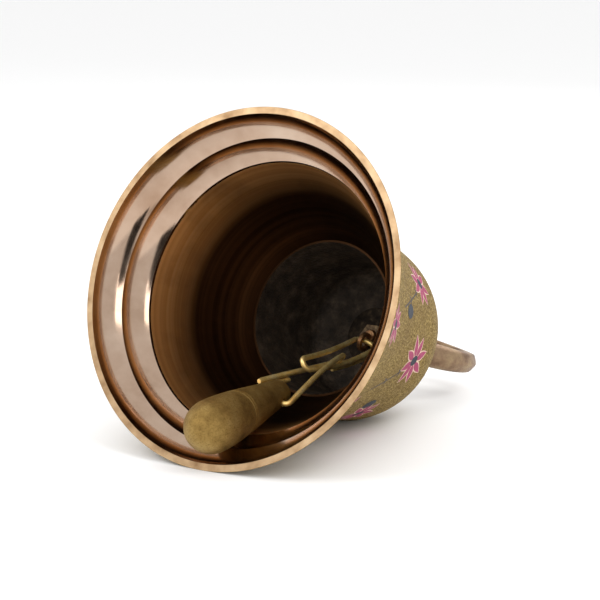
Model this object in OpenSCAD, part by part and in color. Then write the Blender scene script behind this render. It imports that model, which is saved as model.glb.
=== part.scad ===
// Temple bell lying on its side: mouth towards -Y, crown towards +Y, resting on rim and shoulder.
// Every piece is drawn in the bell's own frame and then laid down. In that frame the mouth is the
// plane z = 0, +z runs along the bell's axis to the crown, and +y points to the surface below.

/* [Bell shell] */
// Outer diameter of the mouth
mouth_d = 150; // [148:0.5:152]
// Width of the flat lip around the mouth
lip_w = 2.9; // [2.6:0.1:3.2]
// Thickness of the crown, where the bolt passes
crown_t = 7.4; // [7:0.1:7.6]
// Radius of the round shoulder
shoulder_r = 41.25; // [41:0.25:43]
// Height of the centre of the shoulder's round
shoulder_h = 86.75; // [86.5:0.25:87.5]
// Radius of the crown's corner
corner_r = 16.5; // [15:0.5:17]

/* [Crown loop] */
// Outer diameter of the hanging loop
loop_d = 58; // [54:1:60]
// Radial thickness of the loop
loop_t = 8; // [7:0.5:9]
// Width of the loop at its foot
loop_w = 12; // [11:0.5:14]
// Width of the loop at its top
loop_top_w = 6.4; // [5:0.2:9]
// Turn of the loop about the bell's axis
loop_turn = 11.4; // [-20:0.2:20]
// Lean of the loop out of the bell's axis
loop_lean = 6; // [0:0.5:8]
// Diameter of the loop's foot
foot_d = 25; // [22:0.5:28]

/* [Eye bolt, washer and nut] */
// Diameter of the bolt's shank
bolt_d = 6; // [5.6:0.1:6]
// Diameter of the flattened eye
eye_d = 8.8; // [8.6:0.1:8.8]
// Diameter of the hole in the eye
eye_hole_d = 5.4; // [5.3:0.1:5.5]
// Thickness of the flattened eye
eye_t = 1.6; // [1.4:0.1:1.6]
// Turn of the eye about the bell's axis
eye_turn = 12; // [8:1:16]
// Diameter of the washer
washer_d = 27; // [22:0.5:30]
// Thickness of the washer
washer_t = 1.2; // [1:0.1:1.2]
// Width of the thin nut across its flats
nut_af = 10; // [9.5:0.5:11]
// Height of the thin nut
nut_t = 2.8; // [2.6:0.1:2.8]

/* [Links] */
// Diameter of the wire of both links
wire_d = 2.4; // [2.2:0.1:2.4]
// Distance between the lapped ends of each link
wire_pitch = 2.75; // [2.65:0.05:2.8]
// Length of the upper link
upper_l = 51.8; // [51.5:0.1:52]
// Half width of the upper link at the eye
upper_eye_w = 5.4; // [5.3:0.05:5.5]
// Half width of the upper link at its far end
upper_tip_w = 2.8; // [2.75:0.05:2.9]
// Length of the lower link
lower_l = 54; // [53.8:0.1:54.2]
// Half width of the lower link at the clapper
lower_hole_w = 8.3; // [8.2:0.1:8.5]
// Half width of the lower link at its far end
lower_tip_w = 3.35; // [3.3:0.05:3.4]

/* [Clapper] */
// Diameter of the clapper's head
head_d = 22; // [21:0.1:22]
// Distance from the cross hole to the middle of the head
clapper_l = 47; // [46.8:0.1:47.2]
// Diameter of the cross hole
clapper_hole_d = 4.4; // [4.3:0.1:4.6]

/* [Hidden] */
$fn = 96;

mouth_r = mouth_d / 2;
corner_start = 50;
crown_h = shoulder_h + (shoulder_r - corner_r) * sin(corner_start) + corner_r;
crown_in = crown_h - crown_t;

loop_r = loop_d / 2;
foot_h = 4;
loop_sink = 2.5;
loop_rise = foot_h + loop_r - loop_sink;
blind_depth = 7.5;
shank_gap = 0.05;
bore_gap = 0.4;

// Where the upper link hangs in the eye, how far round its bend, and how it lies
wire_at_eye = [0, 2.9, 106.65];
upper_hang = 28.4;
upper_turn = [-153.2, -9, 23.9];
upper_twist = -37.8;
upper_bow = [-1.85, 7.55];

// How the clapper lies, and how its cross hole is drilled
head_at = [4.15, 57.15, -4.25];
clapper_turn = [23, -4.5, 0];
hole_turn = [0, 97.4, 18];
hole_at = head_at + clapper_l * [cos(clapper_turn.x) * sin(clapper_turn.y), -sin(clapper_turn.x),
                                 cos(clapper_turn.x) * cos(clapper_turn.y)];

// How the lower link lies
lower_turn = [32.9, -5.1, 20.6];
lower_twist = -64;
lower_bow = [-2.55, 7.6];

// Lying on its rim and its round shoulder tips the bell's axis this far down towards the crown
tilt = acos(shoulder_r / norm([mouth_r, shoulder_h])) - atan2(shoulder_h, mouth_r);

// The whole object is centred over the origin, from the clapper's nose to the top of the loop
clapper_reach = 36;
loop_reach = crown_h * cos(tilt) + (loop_rise + loop_r) * cos(tilt - loop_lean);
y_shift = (clapper_reach - loop_reach) / 2;

module laid() {
    translate([0, y_shift, mouth_r * cos(tilt)]) rotate([-90 - tilt, 0, 0]) children();
}

// Points on a circle, from angle a0 to angle a1
function arc(c, r, a0, a1, n = 12) =
    [for (i = [0:n]) c + r * [cos(a0 + (a1 - a0) * i / n), sin(a0 + (a1 - a0) * i / n)]];

// Points on a cubic curve with four control points
function cubic(a, b, c, d, n = 16) =
    [for (i = [0:n]) let (t = i / n, u = 1 - t)
        u * u * u * a + 3 * u * u * t * b + 3 * u * t * t * c + t * t * t * d];

// Points from a to b, bowed sideways by h at the middle, without a itself
function bowed(a, b, h, n = 8) =
    let (side = [b.y - a.y, a.x - b.x] / norm(b - a))
    [for (i = [1:n]) let (t = i / n) a + t * (b - a) + 4 * h * t * (1 - t) * side];

/* Bell shell: outlines are [radius, height] */

shoulder_start = 8;
shoulder_edge = [shoulder_r * cos(shoulder_start), shoulder_h + shoulder_r * sin(shoulder_start)];
corner_c = [(shoulder_r - corner_r) * cos(corner_start), crown_h - corner_r];

// From the mouth: flared flank, round shoulder, corner
outer_outline = concat(
    cubic([mouth_r, 0], [0.693 * mouth_r, shoulder_edge.y / 3],
          [0.602 * mouth_r, shoulder_edge.y * 2 / 3], shoulder_edge, 24),
    arc([0, shoulder_h], shoulder_r, shoulder_start + 3.5, corner_start, 11),
    arc(corner_c, corner_r, corner_start + 4, 90, 9));

lip_in = mouth_r - lip_w;
cove_1 = [64.5, 10.4];
cove_2 = [57.3, 20];
ring_b = [39, 60.8];
ring_a = [34.3, 67];
ring_a_ledge = 0.9;
core_r = 31;
core_top_r = 23.5;
core_fillet = 8;

// From the lip: step, two coves, turned wall, turned cone, and the cavity left as cast
inner_outline = concat(
    [[lip_in, 0], [lip_in - 0.5, 1.5]],
    bowed([lip_in - 0.5, 1.5], cove_1, 1.1),
    bowed(cove_1, cove_2, 1),
    bowed(cove_2, ring_b, 1.5, 12),
    [ring_a, ring_a - [ring_a_ledge, 0], [core_r, crown_in - core_fillet * 2.4]],
    arc([core_top_r - 0.5, crown_in - core_fillet], core_fillet, 14, 90, 8),
    [[bolt_d / 2 + bore_gap, crown_in]]);

module bell_shell() {
    color("#c9a36a") laid() rotate_extrude()
        polygon(concat([[bolt_d / 2 + bore_gap, crown_h]],
                       [for (i = [len(outer_outline) - 1:-1:0]) outer_outline[i]], inner_outline));
}

/* Crown loop */

ridge_flat = 0.4;
waist = 2.2;
neck_r = 6.5;

// Section of the loop: a flat inner face, swelling sides and a ridge around the outside
module loop_section() {
    inner = loop_r - loop_t;
    half = loop_w / 2;
    polygon([[inner, waist - half], [inner + loop_t * 0.4, -half], [loop_r - 2, 1.8 - half],
             [loop_r, -ridge_flat], [loop_r, ridge_flat], [loop_r - 2, half - 1.8],
             [inner + loop_t * 0.4, half], [inner, half - waist]]);
}

// Block that narrows from the foot to the top and trims the sides of the loop
module loop_taper() {
    rotate([90, 0, 90]) translate([0, 0, -loop_r - 1]) linear_extrude(loop_d + 2)
        polygon([[-loop_w / 2 - 0.6, -loop_r], [loop_w / 2 + 0.6, -loop_r],
                 [loop_top_w / 2, loop_r + 1], [-loop_top_w / 2, loop_r + 1]]);
}

module crown_loop() {
    color("#b98a62") laid() translate([0, 0, crown_h]) difference() {
        union() {
            cylinder(h = foot_h, d = foot_d);
            cylinder(h = foot_h + 2.5, r = neck_r);
            rotate([loop_lean, 0, loop_turn]) translate([0, 0, loop_rise]) intersection() {
                rotate([90, 0, 0]) rotate_extrude() loop_section();
                loop_taper();
            }
        }
        translate([0, 0, -1]) cylinder(h = blind_depth + 1, d = bolt_d + 2 * shank_gap);
    }
}

/* Eye bolt, washer and nut, clamped through the crown */

washer_z = crown_in - washer_t;
nut_z = washer_z - nut_t;
eye_crank = 3.5;
eye_drop = 0.2;
eye_z = nut_z - eye_d / 2 - eye_drop;
eye_at = [0, eye_crank, eye_z];

module eye_bolt() {
    color("#a8743c") laid() difference() {
        union() {
            translate([0, 0, nut_z]) cylinder(h = crown_h - nut_z + blind_depth - 1, d = bolt_d);
            translate([0, 0, nut_z - 1.5]) cylinder(h = 1.5, d1 = bolt_d - 1.2, d2 = bolt_d);
            translate(eye_at) rotate([0, 90, eye_turn]) cylinder(h = eye_t, d = eye_d, center = true);
        }
        translate(eye_at) rotate([0, 90, eye_turn])
            cylinder(h = bolt_d * 2, d = eye_hole_d, center = true);
    }
}

module crown_washer() {
    color("#6b5a3f") laid() translate([0, 0, washer_z]) difference() {
        cylinder(h = washer_t, d = washer_d);
        translate([0, 0, -1]) cylinder(h = washer_t + 2, d = bolt_d + 0.4);
    }
}

module crown_nut() {
    color("#7a6a48") laid() translate([0, 0, nut_z]) difference() {
        cylinder(h = nut_t, d = nut_af / cos(30), $fn = 6);
        translate([0, 0, -1]) cylinder(h = nut_t + 2, d = bolt_d + 2 * shank_gap);
    }
}

/* Links: each is one round wire, bent into a long eye with its ends lapped side by side */

wire_sides = 12;

function unit(v) = v / norm(v);

// Points along a straight stretch, without its first point
function straight(a, b, n) = [for (i = [1:n]) a + (b - a) * i / n];

// Distance run along an outline up to each of its points
function runs(p) =
    [for (i = 0, s = 0; i < len(p);
          s = s + (i + 1 < len(p) ? norm(p[i + 1] - p[i]) : 0), i = i + 1) s];

// Wire swept along a path, with its ends cut square; normals[i] points out of the link's plane
module wire(path, normals) {
    last = len(path) - 1;
    rings = [for (i = [0:last])
        let (along = unit(path[min(i + 1, last)] - path[max(i - 1, 0)]),
             across = unit(cross(along, normals[i])),
             up = cross(across, along))
        for (k = [0:wire_sides - 1]) let (a = 360 * k / wire_sides)
            path[i] + wire_d / 2 * (cos(a) * across + sin(a) * up)];
    tube = [for (i = [0:last - 1]) for (k = [0:wire_sides - 1])
        let (a = i * wire_sides + k, b = i * wire_sides + (k + 1) % wire_sides)
        each [[a, a + wire_sides, b + wire_sides], [a, b + wire_sides, b]]];
    start = [for (k = [0:wire_sides - 1]) k];
    end = [for (k = [wire_sides - 1:-1:0]) last * wire_sides + k];
    polyhedron(rings, concat(tube, [start, end]));
}

// Link drawn along +z with its width along x, from an outline of [run, half width]. The point
// outline[held] is the origin. Along the link, `twist` turns its width about z and `bow` bends its
// far end aside, as wire bent by hand does, and each turn of wire ends one pitch beside its start.
module link(outline, held, one_turn, lay, twist, bow) {
    s = runs(outline);
    far = max([for (q = outline) q.x]);
    bend = [for (q = outline) max(0, q.x / far)];
    across = [for (t = bend) [cos(twist * t), sin(twist * t), 0]];
    out = [for (t = bend) [-sin(twist * t), cos(twist * t), 0]];
    path = [for (i = [0:len(outline) - 1])
        [bow.x * pow(bend[i], 2), bow.y * pow(bend[i], 2), outline[i].x] + outline[i].y * across[i]
            + lay * wire_pitch * (s[i] - s[held]) / one_turn * out[i]];
    wire(path, out);
}

eye_lap = 0.62;

module upper_link() {
    w1 = upper_eye_w;
    w2 = upper_tip_w;
    far = upper_l - w2;
    near = [w1, w1];
    hit = [w1, 0] - w1 * [cos(upper_hang), sin(upper_hang)];
    before = concat([near], straight(near, [far, w2], 10), arc([far, 0], w2, 75, -90, 11),
                    straight([far, -w2], [w1, -w1], 10),
                    arc([w1, 0], w1, -100, upper_hang - 180, 6));
    after = concat(arc([w1, 0], w1, upper_hang - 192, -270, 8),
                   straight(near, near + eye_lap * ([far, w2] - near), 8));
    color("#d9b96a") laid() translate(wire_at_eye) rotate(upper_turn)
        link([for (q = concat(before, after)) q - hit], len(before) - 1,
             2 * (upper_l - w1 - w2) + PI * (w1 + w2), -1, upper_twist, upper_bow);
}

hole_lap = 0.36;
hole_corner = 2.6;

module lower_link() {
    w1 = lower_hole_w;
    w2 = lower_tip_w;
    c = hole_corner;
    far = lower_l - w2;
    start = [1.4, -w1];
    before = concat([start], straight(start, [far, -w2], 14), arc([far, 0], w2, -75, 90, 11),
                    straight([far, w2], [c, w1], 14), arc([c, w1 - c], c, 105, 180, 5), [[0, 0]]);
    after = concat([[0, c - w1]], arc([c, c - w1], c, 195, 270, 5),
                   straight([c, -w1], [c, -w1] + hole_lap * ([far, -w2] - [c, -w1]), 6));
    color("#d9b96a") laid() translate(hole_at) rotate(lower_turn)
        link(concat(before, after), len(before) - 1, 2 * (lower_l + w1), 1,
             lower_twist, lower_bow);
}

/* Clapper: outline is [radius, distance from the middle of the head] */

nose = 12.5;
end_r = 4.6;
end_edge_r = 5.8;
end_z = clapper_l + 8.5;

module clapper() {
    outline = concat(
        [for (a = [-90:7.5:0]) [head_d / 2 * cos(a), nose * sin(a)]],
        cubic([head_d / 2, 1], [head_d / 2, 14], [8, 32], [end_edge_r, end_z - 4], 14),
        [[end_edge_r - 0.4, end_z - 1.6], [end_r, end_z - 0.4], [end_r - 0.6, end_z], [0, end_z]]);
    color("#b8893a") laid() translate(head_at) rotate(clapper_turn) difference() {
        rotate_extrude() polygon(outline);
        translate([0, 0, clapper_l]) rotate(hole_turn)
            cylinder(h = head_d * 2, d = clapper_hole_d, center = true);
    }
}

bell_shell();
crown_loop();
eye_bolt();
crown_washer();
crown_nut();
upper_link();
lower_link();
clapper();
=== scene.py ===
"""Temple bell lying on its side: turned shell with painted flowers, wire links and clapper.

Lengths are millimetres in the bell's own frame until they reach a mesh: the mouth is z = 0, +z
runs along the axis to the crown, and +y points to the floor. LAID takes that frame to the row's.
"""
import math
import random

import bmesh
import bpy
from mathutils import Euler, Matrix, Vector


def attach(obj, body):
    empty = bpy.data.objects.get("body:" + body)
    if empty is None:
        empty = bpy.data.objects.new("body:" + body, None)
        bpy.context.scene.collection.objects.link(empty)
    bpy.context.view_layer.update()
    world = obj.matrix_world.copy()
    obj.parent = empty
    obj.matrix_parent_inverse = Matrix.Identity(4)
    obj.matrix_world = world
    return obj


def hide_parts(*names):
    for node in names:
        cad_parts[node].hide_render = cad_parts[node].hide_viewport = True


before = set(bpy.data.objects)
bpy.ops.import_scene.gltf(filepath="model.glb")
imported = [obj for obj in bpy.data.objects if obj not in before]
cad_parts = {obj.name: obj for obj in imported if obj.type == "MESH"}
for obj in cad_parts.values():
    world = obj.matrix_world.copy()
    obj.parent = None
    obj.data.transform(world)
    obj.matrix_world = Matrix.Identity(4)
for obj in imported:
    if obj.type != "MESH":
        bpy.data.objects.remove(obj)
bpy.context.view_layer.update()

MM = 0.001

# Driving dimensions of the shell, the same as the CAD's
MOUTH_R = 75
LIP_W = 2.9
CROWN_T = 7.4
SHOULDER_R = 41.25
SHOULDER_H = 86.75
CORNER_R = 16.5
SHOULDER_START, CORNER_START = 8, 50
BORE_R = 3.4
CROWN_H = SHOULDER_H + (SHOULDER_R - CORNER_R) * math.sin(math.radians(CORNER_START)) + CORNER_R
CROWN_IN = CROWN_H - CROWN_T

TILT = math.acos(SHOULDER_R / math.hypot(MOUTH_R, SHOULDER_H)) - math.atan2(SHOULDER_H, MOUTH_R)
# Centres the laid bell in Y, within 0.01 mm of where part.scad puts it
Y_SHIFT = -68.408
LAID = Matrix.Translation(Vector((0, Y_SHIFT, MOUTH_R * math.cos(TILT))) * MM) @ Matrix.Rotation(
    -math.pi / 2 - TILT, 4, "X"
)


# ---------------------------------------------------------------- curves


def arc(centre, r, a0, a1, n):
    """Points on a circle from angle a0 to a1, in degrees, in n steps."""
    angles = [math.radians(a0 + (a1 - a0) * i / n) for i in range(n + 1)]
    return [Vector((centre[0] + r * math.cos(a), centre[1] + r * math.sin(a))) for a in angles]


def cubic(a, b, c, d, n):
    """Points on a cubic curve with four control points."""
    a, b, c, d = map(Vector, (a, b, c, d))
    steps = [i / n for i in range(n + 1)]
    return [(1 - t) ** 3 * a + 3 * (1 - t) ** 2 * t * b + 3 * (1 - t) * t * t * c + t**3 * d for t in steps]


def straight(a, b, n):
    """Points from a to b, without a itself."""
    a, b = Vector(a), Vector(b)
    return [a + (b - a) * i / n for i in range(1, n + 1)]


def bowed(a, b, h, n):
    """Points from a to b, bowed sideways by h at the middle, without a itself."""
    a, b = Vector(a), Vector(b)
    side = Vector((b.y - a.y, a.x - b.x)).normalized()
    return [a + (b - a) * t + 4 * h * t * (1 - t) * side for t in (i / n for i in range(1, n + 1))]


# ---------------------------------------------------------------- meshes


def piece(name, mesh, matrix, materials, sharp=35):
    """A smooth-shaded object, its mesh taken to the row frame by a matrix and its origin left at zero."""
    mesh.transform(matrix)
    obj = bpy.data.objects.new(name, mesh)
    bpy.context.scene.collection.objects.link(obj)
    for material in materials:
        mesh.materials.append(material)
    mesh.shade_smooth()
    mesh.set_sharp_from_angle(angle=math.radians(sharp))
    bpy.context.view_layer.update()
    return obj


def lathe(name, profile, segments, closed=False):
    """Mesh turned about z from (r, z, material index) rows; a row at r = 0 closes to a point."""
    bm = bmesh.new()
    rings = []
    for r, z, _ in profile:
        if r < 1e-6:
            rings.append([bm.verts.new((0, 0, z * MM))] * segments)
            continue
        turn = [math.tau * k / segments for k in range(segments)]
        rings.append([bm.verts.new((r * MM * math.cos(a), r * MM * math.sin(a), z * MM)) for a in turn])
    last = len(rings) if closed else len(rings) - 1
    for i in range(last):
        low, high = rings[i], rings[(i + 1) % len(rings)]
        for k in range(segments):
            m = (k + 1) % segments
            corners = list(dict.fromkeys((low[k], low[m], high[m], high[k])))
            if len(corners) > 2:
                bm.faces.new(corners).material_index = profile[i][2]
    bmesh.ops.recalc_face_normals(bm, faces=bm.faces)
    mesh = bpy.data.meshes.new(name)
    bm.to_mesh(mesh)
    bm.free()
    return mesh


def applied(obj):
    """Replaces an object's mesh by the result of its modifiers."""
    bpy.context.view_layer.update()
    graph = bpy.context.evaluated_depsgraph_get()
    mesh = bpy.data.meshes.new_from_object(obj.evaluated_get(graph))
    obj.modifiers.clear()
    obj.data = mesh
    return obj


# ---------------------------------------------------------------- materials


class Finish:
    """A procedural material: small helpers that add nodes and return their outputs.

    Its coordinates are the object's own, or those of the frame that `placed` took to the row's.
    """

    def __init__(self, name, metallic, placed=None, specular=0.5):
        self.material = bpy.data.materials.new(name)
        self.material.use_nodes = True
        self.tree = self.material.node_tree
        self.shader = self.tree.nodes["Principled BSDF"]
        self.shader.inputs["Metallic"].default_value = metallic
        self.shader.inputs["Specular IOR Level"].default_value = specular
        self.place = self.tree.nodes.new("ShaderNodeTexCoord").outputs["Object"]
        if placed:
            back = placed.inverted()
            self.place = self.node("ShaderNodeMapping", Vector=self.place, Location=back.translation,
                                   Rotation=back.to_euler()).outputs[0]
        self.normal = None

    def node(self, kind, **inputs):
        """A new node, with its inputs set by name; _ stands for a space."""
        made = self.tree.nodes.new(kind)
        for key, value in inputs.items():
            self.put(made.inputs[key.replace("_", " ")], value)
        return made

    def put(self, socket, value):
        """Links an output to a socket, or sets a plain value on it."""
        if isinstance(value, bpy.types.NodeSocket):
            self.tree.links.new(value, socket)
        else:
            socket.default_value = value

    def calc(self, operation, a, b=0.0):
        """One step of arithmetic on two values or outputs."""
        made = self.tree.nodes.new("ShaderNodeMath")
        made.operation = operation
        self.put(made.inputs[0], a)
        self.put(made.inputs[1], b)
        return made.outputs[0]

    def stretched(self, x, y, z):
        """The material's coordinates, scaled along each axis."""
        made = self.node("ShaderNodeMapping", Vector=self.place)
        made.inputs["Scale"].default_value = (x, y, z)
        return made.outputs[0]

    def turned(self):
        """Coordinates that are the same all the way round the axis: (radius, 0, height)."""
        x, y, height = self.node("ShaderNodeSeparateXYZ", Vector=self.place).outputs
        squares = self.calc("ADD", self.calc("MULTIPLY", x, x), self.calc("MULTIPLY", y, y))
        return self.node("ShaderNodeCombineXYZ", X=self.calc("SQRT", squares), Z=height).outputs[0]

    def noise(self, per_mm, detail, rough=0.55, where=None):
        """Noise with about that many features to a millimetre."""
        made = self.node("ShaderNodeTexNoise", Vector=where or self.place, Scale=per_mm / MM,
                         Detail=detail, Roughness=rough)
        return made.outputs["Fac"]

    def cells(self, per_mm):
        """Distance to the middle of the nearest of many small cells, for grains and pits."""
        return self.node("ShaderNodeTexVoronoi", Vector=self.place, Scale=per_mm / MM).outputs["Distance"]

    def span(self, value, low, high, out_low=0.0, out_high=1.0):
        """A value taken from low..high to out_low..out_high, and held at the ends."""
        made = self.node("ShaderNodeMapRange", Value=value, From_Min=low, From_Max=high,
                         To_Min=out_low, To_Max=out_high)
        return made.outputs[0]

    def ramp(self, fac, *stops):
        """Colour from stops of (place, (r, g, b))."""
        made = self.node("ShaderNodeValToRGB", Fac=fac)
        elements = made.color_ramp.elements
        while len(elements) < len(stops):
            elements.new(0.5)
        for element, (place, colour) in zip(elements, stops):
            element.position = place
            element.color = (*colour, 1)
        return made.outputs[0]

    def mix(self, fac, a, b):
        """Colour a where fac is 0 and b where it is 1; each is an output or (r, g, b)."""
        made = self.tree.nodes.new("ShaderNodeMix")
        made.data_type = "RGBA"
        # The node's colour sockets: inputs 6 and 7, and output 2
        self.put(made.inputs[0], fac)
        self.put(made.inputs[6], a if isinstance(a, bpy.types.NodeSocket) else (*a, 1))
        self.put(made.inputs[7], b if isinstance(b, bpy.types.NodeSocket) else (*b, 1))
        return made.outputs[2]

    def relief(self, height, depth_mm):
        """Adds a bump of that depth on top of those already there."""
        made = self.node("ShaderNodeBump", Strength=1.0, Distance=depth_mm * MM, Height=height)
        if self.normal:
            self.put(made.inputs["Normal"], self.normal)
        self.normal = made.outputs[0]

    def done(self, colour, roughness):
        """Connects the shader and returns the material."""
        self.put(self.shader.inputs["Base Color"], colour)
        self.put(self.shader.inputs["Roughness"], roughness)
        if self.normal:
            self.put(self.shader.inputs["Normal"], self.normal)
        return self.material


def sandy_paint():
    f = Finish("sandy_gold_paint", 0.25, LAID, 0.15)
    speckle = f.noise(1.15, 4, 0.72)
    patch = f.noise(0.09, 4)
    grain = f.cells(2.2)
    colour = f.ramp(speckle, (0.34, (0.060, 0.038, 0.010)), (0.47, (0.20, 0.130, 0.032)),
                    (0.56, (0.32, 0.222, 0.068)), (0.70, (0.50, 0.385, 0.155)))
    colour = f.mix(f.span(patch, 0.35, 0.7, 0.0, 0.45), colour, (0.145, 0.085, 0.028))
    f.relief(grain, 0.12)
    f.relief(speckle, 0.08)
    return f.done(colour, f.span(speckle, 0.3, 0.7, 0.78, 0.58))


def sanded_lip():
    f = Finish("sanded_lip", 1.0, LAID)
    rings = f.noise(1.6, 4, 0.7, f.turned())
    stain = f.noise(0.12, 4)
    colour = f.ramp(stain, (0.3, (0.26, 0.155, 0.078)), (0.55, (0.46, 0.31, 0.175)),
                    (0.8, (0.56, 0.41, 0.25)))
    f.relief(rings, 0.03)
    return f.done(colour, f.span(rings, 0.3, 0.7, 0.30, 0.46))


def polished_cove():
    f = Finish("polished_cove", 1.0, LAID)
    rings = f.noise(1.1, 4, 0.65, f.turned())
    haze = f.noise(0.05, 5)
    colour = f.ramp(haze, (0.25, (0.33, 0.215, 0.145)), (0.5, (0.45, 0.32, 0.235)),
                    (0.8, (0.54, 0.415, 0.32)))
    f.relief(rings, 0.018)
    return f.done(colour, f.span(haze, 0.3, 0.75, 0.08, 0.17))


def turned_wall():
    f = Finish("turned_wall", 1.0, LAID)
    lines = f.turned()
    fine = f.noise(2.4, 5, 0.75, lines)
    broad = f.noise(0.35, 3, 0.6, lines)
    tarnish = f.noise(0.035, 5)
    height = f.node("ShaderNodeSeparateXYZ", Vector=f.place).outputs[2]
    # A lit copy and a painted-shade copy of the wall's colour
    lit_wall_colour = f.ramp(broad, (0.3, (0.64, 0.32, 0.105)), (0.5, (0.80, 0.43, 0.160)),
                    (0.72, (0.90, 0.54, 0.230)))
    painted_shade_colour = f.ramp(broad, (0.3, (0.016, 0.007, 0.003)), (0.7, (0.052, 0.024, 0.010)))
    # Painted shade: bright near the mouth and dark further in, the darkness standing in for the shade and
    # dark reflections inside the bell
    painted_shade_mask = f.span(height, 22 * MM, 43 * MM)
    colour = f.mix(painted_shade_mask, lit_wall_colour, painted_shade_colour)
    colour = f.mix(f.span(tarnish, 0.52, 0.74, 0.0, 0.45), colour, (0.06, 0.027, 0.012))
    f.relief(fine, 0.035)
    f.relief(broad, 0.05)
    return f.done(colour, f.span(fine, 0.3, 0.7, 0.34, 0.52))


def cast_crown():
    f = Finish("cast_crown", 0.55, LAID)
    mottle = f.noise(0.16, 6, 0.65)
    pits = f.cells(0.7)
    grain = f.noise(1.4, 5, 0.7)
    colour = f.ramp(mottle, (0.3, (0.014, 0.010, 0.007)), (0.5, (0.042, 0.030, 0.020)),
                    (0.75, (0.12, 0.088, 0.060)))
    colour = f.mix(f.span(grain, 0.55, 0.72, 0.0, 0.4), colour, (0.13, 0.09, 0.052))
    f.relief(pits, 0.35)
    f.relief(grain, 0.25)
    return f.done(colour, f.span(grain, 0.3, 0.7, 0.55, 0.8))


def drawn_wire():
    f = Finish("drawn_wire", 0.72)
    tarnish = f.noise(0.18, 4)
    scuff = f.noise(1.5, 4, 0.6)
    colour = f.ramp(tarnish, (0.3, (0.74, 0.50, 0.15)), (0.52, (0.95, 0.71, 0.27)), (0.75, (1.0, 0.85, 0.45)))
    f.relief(scuff, 0.005)
    return f.done(colour, f.span(scuff, 0.3, 0.7, 0.26, 0.4))


def cast_clapper(placed):
    f = Finish("cast_clapper", 0.9, placed)
    rings = f.noise(1.3, 4, 0.7, f.turned())
    scratch = f.noise(0.9, 5, 0.7, f.stretched(1.0, 1.0, 0.14))
    blotch = f.noise(0.12, 5, 0.6)
    grain = f.noise(1.7, 5, 0.7)
    colour = f.ramp(blotch, (0.28, (0.16, 0.092, 0.024)), (0.5, (0.30, 0.190, 0.056)),
                    (0.75, (0.42, 0.295, 0.105)))
    colour = f.mix(f.span(grain, 0.50, 0.70, 0.0, 0.7), colour, (0.13, 0.070, 0.016))
    f.relief(grain, 0.10)
    f.relief(rings, 0.08)
    f.relief(scratch, 0.10)
    return f.done(colour, f.span(grain, 0.3, 0.7, 0.48, 0.66))


def cast_loop():
    f = Finish("cast_loop", 0.85)
    blotch = f.noise(0.14, 5, 0.6)
    grain = f.noise(1.2, 5, 0.65)
    colour = f.ramp(blotch, (0.28, (0.13, 0.070, 0.040)), (0.5, (0.27, 0.175, 0.105)),
                    (0.75, (0.38, 0.28, 0.155)))
    colour = f.mix(f.span(grain, 0.6, 0.74, 0.0, 0.75), colour, (0.06, 0.035, 0.02))
    f.relief(grain, 0.16)
    return f.done(colour, f.span(grain, 0.3, 0.7, 0.34, 0.55))


def fastener(name, dark, mid, light):
    f = Finish(name, 0.9)
    blotch = f.noise(0.35, 5, 0.6)
    grain = f.noise(2.0, 4, 0.6)
    f.relief(grain, 0.06)
    colour = f.ramp(blotch, (0.3, dark), (0.5, mid), (0.75, light))
    return f.done(colour, f.span(grain, 0.3, 0.7, 0.34, 0.56))


def enamel(name, dark, light):
    """Thin brushed paint: uneven in colour, worn through to specks of gold."""
    f = Finish(name, 0.0, specular=0.15)
    stroke = f.noise(0.5, 4, 0.6)
    worn = f.noise(2.6, 4, 0.7)
    colour = f.mix(stroke, dark, light)
    colour = f.mix(f.span(worn, 0.66, 0.74, 0.0, 0.7), colour, (0.30, 0.20, 0.06))
    f.relief(worn, 0.05)
    return f.done(colour, f.span(worn, 0.3, 0.7, 0.38, 0.6))


# ---------------------------------------------------------------- bell shell

PAINT, LIP, COVE, WALL, CAST = range(5)

shoulder_edge = (SHOULDER_R * math.cos(math.radians(SHOULDER_START)),
                 SHOULDER_H + SHOULDER_R * math.sin(math.radians(SHOULDER_START)))
corner_centre = ((SHOULDER_R - CORNER_R) * math.cos(math.radians(CORNER_START)), CROWN_H - CORNER_R)
outer = (
    cubic((MOUTH_R, 0), (0.693 * MOUTH_R, shoulder_edge[1] / 3),
          (0.602 * MOUTH_R, shoulder_edge[1] * 2 / 3), shoulder_edge, 72)
    + arc((0, SHOULDER_H), SHOULDER_R, SHOULDER_START + 1, CORNER_START, 36)
    + arc(corner_centre, CORNER_R, CORNER_START + 2, 90, 24)
)

lip_in = (MOUTH_R - LIP_W, 0)
step = (lip_in[0] - 0.5, 1.5)
cove_1, cove_2 = (64.5, 10.4), (57.3, 20)
ring_b, ring_a = (39, 60.8), (34.3, 67)
CORE_R = 23
CORE_FILLET = 8
core_base = (CORE_R + CORE_FILLET, CROWN_IN - 2.4 * CORE_FILLET)
fillet_centre = (CORE_R, CROWN_IN - CORE_FILLET)

rows = [(p.x, p.y, PAINT) for p in [Vector((BORE_R, CROWN_H))] + outer[::-1]]
# The rim's outer edge is broken by a small bevel
EDGE = 0.12
rows[-1] = (MOUTH_R - 0.02, EDGE, PAINT)
rows += [(MOUTH_R - 0.02 - EDGE, 0, LIP)]
rows += [(MOUTH_R - LIP_W * t, 0, LIP) for t in (0.35, 0.65)]
rows += [(*lip_in, COVE), (*step, COVE)]
rows += [(p.x, p.y, COVE) for p in bowed(step, cove_1, 1.1, 20) + bowed(cove_1, cove_2, 1, 20)]
rows += [(p.x, p.y, WALL) for p in bowed(cove_2, ring_b, 1.5, 40) + straight(ring_b, ring_a, 6)]
rows += [(ring_a[0] - 0.9, ring_a[1], CAST)]
rows += [(p.x, p.y, CAST) for p in straight((ring_a[0] - 0.9, ring_a[1]), core_base, 14)]
rows += [(p.x, p.y, CAST) for p in arc(fillet_centre, CORE_FILLET, 14, 90, 14)]
rows += [(p.x, p.y, CAST) for p in straight((CORE_R, CROWN_IN), (BORE_R, CROWN_IN), 10)]

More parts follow.
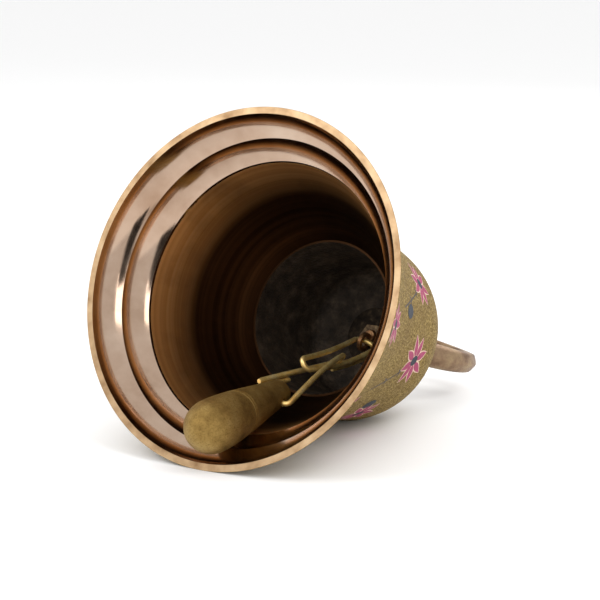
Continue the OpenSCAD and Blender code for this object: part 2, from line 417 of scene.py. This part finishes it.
shell = piece("turned_shell", lathe("turned_shell", rows, 288, closed=True), LAID,
              [sandy_paint(), sanded_lip(), polished_cove(), turned_wall(), cast_crown()], 24)
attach(shell, "bell")
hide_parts("bell_shell")


# ---------------------------------------------------------------- painted flowers

PETAL, OUTLINE, CENTRE, STEM = range(4)
# How far each layer of paint stands off the shell, in the order that it was brushed on
LAYERS = {STEM: 0.04, OUTLINE: 0.06, PETAL: 0.085, CENTRE: 0.11}

runs = [0.0]
for before, after in zip(outer, outer[1:]):
    runs.append(runs[-1] + (after - before).length)


def on_flank(height):
    """How far up the outside, along its own outline, a height above the mouth is."""
    i = next(i for i, p in enumerate(outer) if p.y >= height)
    return runs[i]


def surface(angle, run, lift):
    """The point on the outside at that angle round the axis and run from the mouth, lifted off it by
    that much, and its radius."""
    i = max(1, next((i for i, s in enumerate(runs) if s >= run), len(runs) - 1))
    t = (run - runs[i - 1]) / (runs[i] - runs[i - 1])
    p = outer[i - 1].lerp(outer[i], t)
    along = (outer[i] - outer[i - 1]).normalized()
    p = p + Vector((along.y, -along.x)) * lift
    return Vector((p.x * math.cos(angle), p.x * math.sin(angle), p.y)) * MM, p.x


paint = bmesh.new()


def patch(at, outline, layer, rings=4):
    """Fills an outline of (across, up) points round its middle, laid on the outside at (angle, run)."""
    middle = sum(outline, Vector((0, 0))) / len(outline)
    radius = surface(at[0], at[1], 0)[1]
    levels = []
    for k in range(rings + 1):
        flat = [middle + (q - middle) * k / rings for q in (outline if k else outline[:1])]
        places = [surface(at[0] + q.x / radius, at[1] + q.y, LAYERS[layer])[0] for q in flat]
        levels.append([paint.verts.new(place) for place in places])
    count = len(outline)
    for low, high in zip(levels, levels[1:]):
        for k in range(count):
            m = (k + 1) % count
            ring = [high[k], high[m]] + ([low[0]] if len(low) == 1 else [low[m], low[k]])
            paint.faces.new(ring).material_index = layer


def leaf(length, width, turn, start=0.0, n=9):
    """Outline of a pointed leaf or petal that leaves the origin in the direction turn."""
    half = [(start + length * i / n, width / 2 * math.sin(math.pi * (i / n) ** 0.8)) for i in range(n + 1)]
    points = [Vector((x, y)) for x, y in half] + [Vector((x, -y)) for x, y in half[-2:0:-1]]
    return [Matrix.Rotation(turn, 2) @ p for p in points]


def oval(rx, ry, turn=0.0, n=18):
    """Outline of an oval round the origin."""
    angles = [math.tau * i / n for i in range(n)]
    return [Matrix.Rotation(turn, 2) @ Vector((rx * math.cos(a), ry * math.sin(a))) for a in angles]


def flower(angle, run, size, draw):
    """Pointed petals, each on its pale outline, round a dark oval."""
    spin = draw.uniform(0, math.tau)
    for k in range(8):
        turn = spin + math.tau * k / 8 + draw.uniform(-0.08, 0.08)
        reach = size * draw.uniform(0.9, 1.05)
        patch((angle, run), leaf(reach * 1.05, size * 0.46, turn, size * 0.12), OUTLINE)
        patch((angle, run), leaf(reach * 0.95, size * 0.34, turn, size * 0.17), PETAL)
    patch((angle, run), oval(size * 0.22, size * 0.3, spin), CENTRE)


STEM_STEPS = 16
STEM_MARKS = (5, 10)
STEM_HALF_W = 0.36


def stem(angle, run, length, turn, bend, draw):
    """A thin curved line with two pairs of leaf marks, from a flower towards the mouth."""
    radius = surface(angle, run, 0)[1]
    line = [Vector((0, 0))]
    for i in range(STEM_STEPS):
        heading = turn + bend * i / STEM_STEPS
        line.append(line[-1] + length / STEM_STEPS * Vector((math.cos(heading), math.sin(heading))))
    sides = []
    for i, q in enumerate(line):
        ahead = (line[min(i + 1, STEM_STEPS)] - line[max(i - 1, 0)]).normalized()
        across = Vector((-ahead.y, ahead.x)) * STEM_HALF_W
        sides.append([paint.verts.new(surface(angle + p.x / radius, run + p.y, LAYERS[STEM])[0])
                      for p in (q + across, q, q - across)])
    for a, b in zip(sides, sides[1:]):
        for k in (0, 1):
            paint.faces.new([a[k], a[k + 1], b[k + 1], b[k]]).material_index = STEM
    for i in STEM_MARKS:
        for side in (-1, 1):
            at = (angle + line[i].x / radius, run + line[i].y)
            patch(at, leaf(draw.uniform(2.8, 3.6), 0.9, turn + bend * i / STEM_STEPS + side * 0.75), STEM, 3)


draw = random.Random(7)
# Angle round the axis in degrees, height above the mouth, size; the side towards +x comes first
FLOWERS = [(16, 80, 10.2), (-30, 80, 9.6), (3, 38, 8.6)]
FLOWERS += [(a + draw.uniform(-5, 5), h + draw.uniform(-4, 4), draw.uniform(8.4, 10.2))
            for a, h in [(62, 78), (54, 40), (104, 80), (98, 42), (148, 79), (142, 41),
                         (192, 80), (186, 42), (236, 79), (230, 41), (282, 79), (318, 42), (276, 40)]]
for degrees, height, size in FLOWERS:
    angle, run = math.radians(degrees), on_flank(height)
    stem(angle, run, 34 if height > 60 else 22, math.radians(draw.uniform(-62, -48)),
         draw.uniform(-0.5, -0.2), draw)
    flower(angle, run, size, draw)
for degrees, height in [(-8, 61), (49, 70), (92, 61), (134, 62), (178, 61), (222, 62), (262, 60), (300, 62)]:
    patch((math.radians(degrees), on_flank(height)), oval(3.1, 4.2, 0.2), CENTRE)
# A row of dots round the shoulder
DOTS, DOT_R, DOT_H = 44, 0.65, 108
for k in range(DOTS):
    patch((math.tau * k / DOTS, on_flank(DOT_H)), oval(DOT_R, DOT_R), CENTRE, 2)

paint_mesh = bpy.data.meshes.new("painted_flowers")
bmesh.ops.recalc_face_normals(paint, faces=paint.faces)
paint.to_mesh(paint_mesh)
paint.free()
flowers = piece("painted_flowers", paint_mesh, LAID,
                [enamel("magenta_enamel", (0.24, 0.020, 0.075), (0.42, 0.060, 0.145)),
                 enamel("pale_outline", (0.62, 0.40, 0.30), (0.78, 0.60, 0.46)),
                 enamel("blue_grey_enamel", (0.010, 0.014, 0.022), (0.034, 0.042, 0.058)),
                 enamel("dark_stem_enamel", (0.020, 0.016, 0.018), (0.07, 0.05, 0.045))])
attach(flowers, "bell")


# ---------------------------------------------------------------- wire links

WIRE_D = 2.4
WIRE_PITCH = 2.75
WIRE_END_EDGE = 0.22
wire_finish = drawn_wire()


def link(name, outline, held, one_turn, lay, twist, bow, turn, at):
    """Round wire bent to an outline of (run, half width), placed so that outline[held] is at `at`.

    It winds sideways by lay pitches in one turn, so that its overlapping ends lie side by side. Its far
    end is twisted by `twist` degrees and bent off by `bow`, and then the whole is turned by `turn`.
    """
    run = [0.0]
    for a, b in zip(outline, outline[1:]):
        run.append(run[-1] + (b - a).length)
    far = max(q.x for q in outline)
    spin = Euler([math.radians(a) for a in turn]).to_matrix()
    path, normals = [], []
    for q, s in zip(outline, run):
        t = max(0.0, q.x / far)
        a = math.radians(twist * t)
        across, out = Vector((math.cos(a), math.sin(a), 0)), Vector((-math.sin(a), math.cos(a), 0))
        p = Vector((bow[0] * t * t, bow[1] * t * t, q.x)) + q.y * across
        p += lay * WIRE_PITCH * (s - run[held]) / one_turn * out
        path.append(spin @ p + Vector(at))
        normals.append(spin @ out)
    bm = bmesh.new()
    rings, sides, last = [], 24, len(path) - 1
    for i, p in enumerate(path):
        along = (path[min(i + 1, last)] - path[max(i - 1, 0)]).normalized()
        across = along.cross(normals[i]).normalized()
        up = across.cross(along)
        radius = WIRE_D / 2 - (WIRE_END_EDGE if i in (0, last) else 0)
        angles = [math.tau * k / sides for k in range(sides)]
        circle = [p + radius * (math.cos(a) * across + math.sin(a) * up) for a in angles]
        rings.append([bm.verts.new(q * MM) for q in circle])
    for a, b in zip(rings, rings[1:]):
        for k in range(sides):
            bm.faces.new([a[k], a[(k + 1) % sides], b[(k + 1) % sides], b[k]])
    bm.faces.new(rings[0][::-1])
    bm.faces.new(rings[-1])
    bmesh.ops.recalc_face_normals(bm, faces=bm.faces)
    mesh = bpy.data.meshes.new(name)
    bm.to_mesh(mesh)
    bm.free()
    return piece(name, mesh, LAID, [wire_finish], 50)


# Upper link: half widths at its two ends, length, and how far round its bend the eye holds it
w1, w2, length, hang = 5.4, 2.8, 51.8, 28.4
far = length - w2
hit = Vector((w1, 0)) - w1 * Vector((math.cos(math.radians(hang)), math.sin(math.radians(hang))))
start = Vector((w1, w1))
before = [start] + straight(start, (far, w2), 30) + arc((far, 0), w2, 75, -90, 33)
before += straight((far, -w2), (w1, -w1), 30) + arc((w1, 0), w1, -100, hang - 180, 18)
after = arc((w1, 0), w1, hang - 188, -270, 24) + straight(start, start.lerp(Vector((far, w2)), 0.62), 24)
upper = link("upper_wire", [q - hit for q in before + after], len(before) - 1,
             2 * (length - w1 - w2) + math.pi * (w1 + w2), -1, -37.8, (-1.85, 7.55),
             (-153.2, -9, 23.9), (0, 2.9, 106.65))
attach(upper, "upper_link")
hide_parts("upper_link")

# Clapper's place, which also places the lower link
HEAD_AT = Vector((4.15, 57.15, -4.25))
CLAPPER_L = 47
clapper_spin = Euler([math.radians(a) for a in (23, -4.5, 0)]).to_matrix()
hole_at = HEAD_AT + clapper_spin @ Vector((0, 0, CLAPPER_L))

# Lower link: squared end through the clapper, narrow end hooked into the upper link
w1, w2, length, corner = 8.3, 3.35, 54, 2.6
far = length - w2
start = Vector((1.4, -w1))
before = [start] + straight(start, (far, -w2), 42) + arc((far, 0), w2, -75, 90, 33)
before += straight((far, w2), (corner, w1), 42) + arc((corner, w1 - corner), corner, 105, 180, 15)
before += straight((0, w1 - corner), (0, 0), 6)
after = straight((0, 0), (0, corner - w1), 6) + arc((corner, corner - w1), corner, 195, 270, 15)
lap = Vector((corner, -w1))
after += straight(lap, lap.lerp(Vector((far, -w2)), 0.36), 18)
lower = link("lower_wire", before + after, len(before) - 1, 2 * (length + w1), 1, -64, (-2.55, 7.6),
             (32.9, -5.1, 20.6), hole_at)
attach(lower, "lower_link")
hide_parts("lower_link")


# ---------------------------------------------------------------- clapper

HEAD_R, NOSE = 11, 12.5
END_Z = CLAPPER_L + 8.5
SCORES, SCORE_DEPTH, SCORE_W = (18.2, 19.9), 0.2, 0.25
HOLE_R = 2.2
DRILL_END = 30

body = [Vector((HEAD_R * math.cos(a), NOSE * math.sin(a)))
        for a in (math.radians(-90 + 3.75 * i) for i in range(25))]
body += cubic((HEAD_R, 1), (HEAD_R, 14), (8, 32), (5.8, END_Z - 4), 190)
for p in body:
    p.x = max(0.0, p.x - SCORE_DEPTH * sum(math.exp(-(((p.y - z) / SCORE_W) ** 2)) for z in SCORES))
body += [Vector(q) for q in ((5.4, END_Z - 1.6), (4.6, END_Z - 0.4), (4, END_Z), (0, END_Z))]
body[0].x = 0
clapper_mesh = lathe("cast_clapper", [(p.x, p.y, 0) for p in body], 144)
clapper_place = LAID @ Matrix.Translation(HEAD_AT * MM) @ clapper_spin.to_4x4()
clapper = piece("cast_clapper", clapper_mesh, clapper_place, [cast_clapper(clapper_place)], 40)

drill_outline = [(0, -DRILL_END, 0), (HOLE_R, -DRILL_END, 0), (HOLE_R, DRILL_END, 0), (0, DRILL_END, 0)]
drill_mesh = lathe("drill", drill_outline, 48)
hole_spin = Euler([math.radians(a) for a in (0, 97.4, 18)]).to_matrix().to_4x4()
hole_place = clapper_place @ Matrix.Translation((0, 0, CLAPPER_L * MM)) @ hole_spin
drill = piece("drill", drill_mesh, hole_place, [])
cut = clapper.modifiers.new("cross_hole", "BOOLEAN")
cut.operation, cut.solver, cut.object = "DIFFERENCE", "EXACT", drill
applied(clapper)
bpy.data.objects.remove(drill)
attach(clapper, "clapper")
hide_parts("clapper")


# ---------------------------------------------------------------- crown loop and fasteners

# The loop is its CAD mesh, copied, remeshed finely and smoothed, so that its edges are worn as cast ones
loop_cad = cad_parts["crown_loop"]
soft = bmesh.new()
soft.from_mesh(loop_cad.data)
bmesh.ops.remove_doubles(soft, verts=soft.verts, dist=0.001 * MM)
loop_mesh = bpy.data.meshes.new("softened_loop")
soft.to_mesh(loop_mesh)
soft.free()
loop_mesh.materials.clear()
loop = piece("softened_loop", loop_mesh, loop_cad.matrix_world.copy(), [cast_loop()], 80)
remesh = loop.modifiers.new("cast", "REMESH")
remesh.mode, remesh.voxel_size, remesh.use_smooth_shade = "VOXEL", 0.5 * MM, True
smooth = loop.modifiers.new("worn", "SMOOTH")
smooth.factor, smooth.iterations = 0.5, 16
applied(loop)
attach(loop, "bell")
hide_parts("crown_loop")

FASTENERS = {
    "eye_bolt": ("bolt_copper_brown", (0.14, 0.065, 0.028), (0.30, 0.155, 0.070), (0.46, 0.27, 0.13)),
    "crown_washer": ("washer_dark", (0.006, 0.004, 0.003), (0.016, 0.011, 0.007), (0.055, 0.038, 0.022)),
    "crown_nut": ("nut_dark", (0.05, 0.032, 0.02), (0.12, 0.08, 0.045), (0.28, 0.19, 0.10)),
}
for node, colours in FASTENERS.items():
    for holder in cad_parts[node].material_slots:
        holder.material = fastener(*colours)


# ---------------------------------------------------------------- floor, light and camera


def card(name, centre, across, up, size, material):
    """A flat rectangle spanned by across and up, for the floor and the card in front of the bell."""
    across = Vector(across).normalized() * size[0] / 2
    up = Vector(up).normalized() * size[1] / 2
    corners = [Vector(centre) + across * i + up * j for i, j in ((-1, -1), (1, -1), (1, 1), (-1, 1))]
    mesh = bpy.data.meshes.new(name)
    mesh.from_pydata(corners, [], [(0, 1, 2, 3)])
    mesh.materials.append(material)
    obj = bpy.data.objects.new(name, mesh)
    bpy.context.scene.collection.objects.link(obj)
    return obj


def plain(name, colour, roughness):
    """An even material for the floor and the card."""
    material = bpy.data.materials.new(name)
    material.use_nodes = True
    shader = material.node_tree.nodes["Principled BSDF"]
    shader.inputs["Base Color"].default_value = (*colour, 1)
    shader.inputs["Roughness"].default_value = roughness
    return material


card("floor", (0, 0, 0), (1, 0, 0), (0, 1, 0), (40, 40), plain("pale_floor", (0.93, 0.93, 0.93), 0.9))


AIM = Vector((0, 0, 0.07))


def soft_box(name, place, size, watts, reflected=True):
    """A rectangular light turned towards the middle of the bell."""
    data = bpy.data.lights.new(name, "AREA")
    data.shape, data.size, data.size_y, data.energy = "RECTANGLE", *size, watts
    lamp = bpy.data.objects.new(name, data)
    lamp.location = place
    lamp.visible_glossy = reflected
    lamp.rotation_mode = "QUATERNION"
    lamp.rotation_quaternion = (AIM - Vector(place)).to_track_quat("-Z", "Y")
    bpy.context.scene.collection.objects.link(lamp)


soft_box("key", (-0.7, -1.1, 1.1), (0.9, 0.9), 6.5)
soft_box("right", (1.1, -0.3, 1.4), (0.8, 0.8), 7, reflected=False)
soft_box("front", (0.75, -1.2, 0.9), (0.6, 0.6), 4)
soft_box("back", (0.1, 1.3, 1.0), (1.2, 0.6), 7)


def reflected_only(obj):
    """The card shows only in reflections: it is unseen, casts no shadow and dims nothing."""
    obj.visible_camera = obj.visible_diffuse = obj.visible_shadow = obj.visible_transmission = False


# The dark shape of whoever stands in front of the mouth, which the polished coves reflect
black = plain("black_card", (0.012, 0.011, 0.010), 0.9)
standing = card("dark_standing_card", (0.44, -0.78, 0.25), (0.83, 0.56, 0), (0, 0, 1), (0.28, 0.5), black)
reflected_only(standing)

world = bpy.data.worlds.new("studio")
world.use_nodes = True
world.node_tree.nodes["Background"].inputs[0].default_value = (1, 1, 1, 1)
world.node_tree.nodes["Background"].inputs[1].default_value = 1.0
bpy.context.scene.world = world
bpy.context.scene.view_settings.view_transform = "Standard"

view = bpy.data.cameras.new("camera")
view.lens, view.sensor_width = 120, 36
camera = bpy.data.objects.new("camera", view)
camera.location = (0.4560, -0.7178, 0.2064)
camera.rotation_mode = "QUATERNION"
camera.rotation_quaternion = Vector((-0.5396, 0.8235, -0.1754)).to_track_quat("-Z", "Y")
bpy.context.scene.collection.objects.link(camera)
bpy.context.scene.camera = camera
